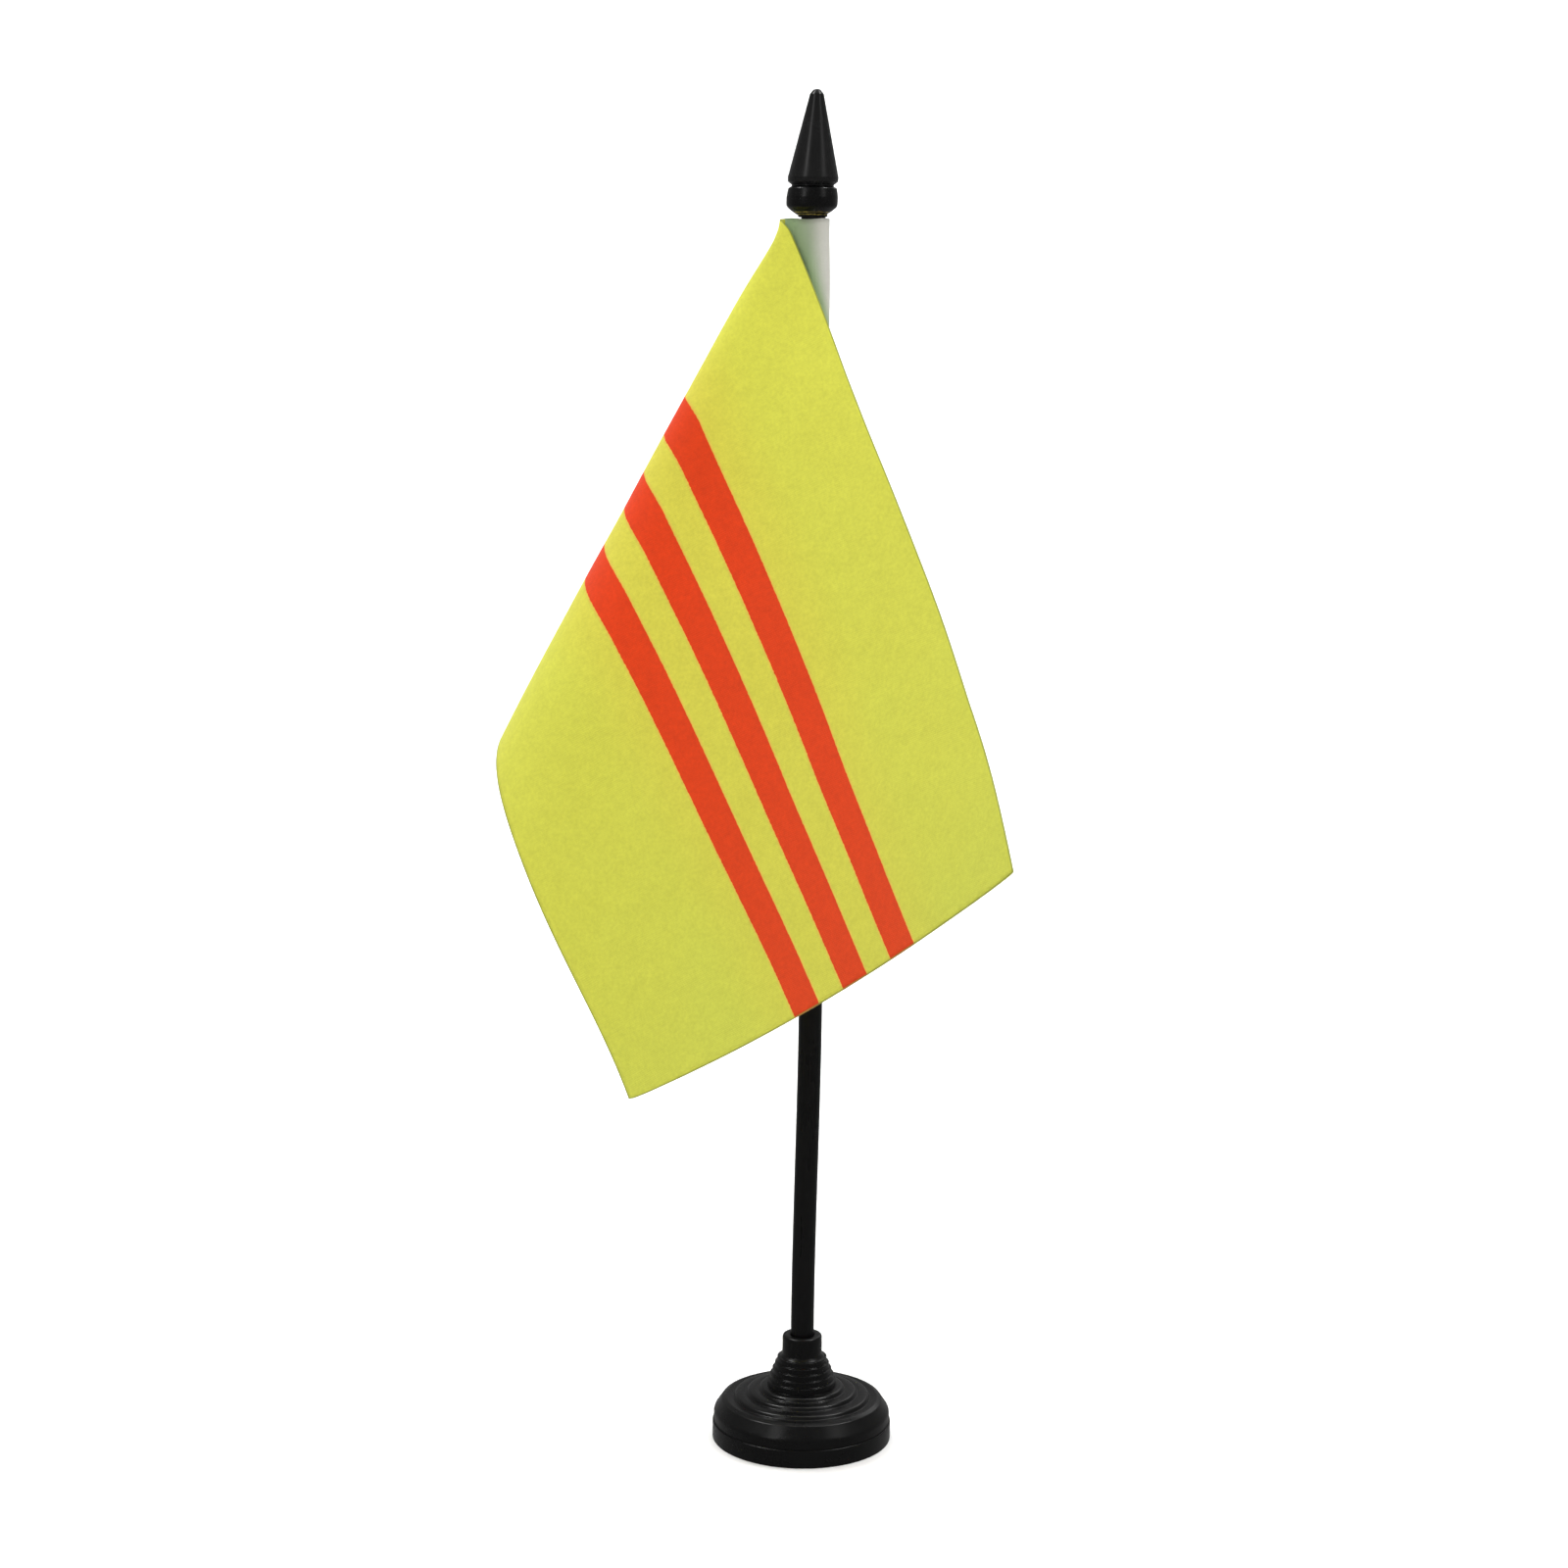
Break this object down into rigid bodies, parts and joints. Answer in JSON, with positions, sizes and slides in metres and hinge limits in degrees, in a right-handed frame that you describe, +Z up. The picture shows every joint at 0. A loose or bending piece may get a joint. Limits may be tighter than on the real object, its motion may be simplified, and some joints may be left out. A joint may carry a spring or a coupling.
{
  "type": "table flag with stand",
  "caption": "Small striped cloth flag draped from a slim pole with a spear finial, standing in a round stepped, weighted desk base.",
  "frame": {"origin": "middle of the base's flat underside, on the pole's axis", "axes": "+Z up along the pole, -Y towards the side that the flag's front layer covers, +X to the right seen from there"},
  "size_m": [0.1037, 0.0917, 0.286],
  "materials": {
    "black_plastic": "satin moulded",
    "ballast_steel": "stamped, zinc grey",
    "flag_fabric": "matt printed polyester, yellow with three orange-red diagonal-hung stripes",
    "sleeve_fabric": "matt off-white polyester",
    "thread": "off-white sewing thread"
  },
  "bodies": {
    "base": {"base_cover": "black_plastic", "base_shell": "black_plastic", "ballast_disc": "ballast_steel"},
    "pole": {"pole": "black_plastic"},
    "finial": {"finial": "black_plastic"},
    "flag": {"flag_sleeve": "sleeve_fabric", "flag_cloth": "flag_fabric", "seam_thread": "thread"}
  },
  "joints": [
    {"name": "pole_pull", "type": "slide", "parent": "base", "child": "pole", "axis": [0, 0, 1], "range_m": [0, 0.022]},
    {"name": "finial_pull", "type": "slide", "parent": "pole", "child": "finial", "axis": [0, 0, 1], "range_m": [0, 0.0125]},
    {"name": "flag_turn", "type": "hinge", "parent": "pole", "child": "flag", "pos_m": [0, 0, 0.2], "axis": [0, 0, 1], "continuous": true}
  ]
}
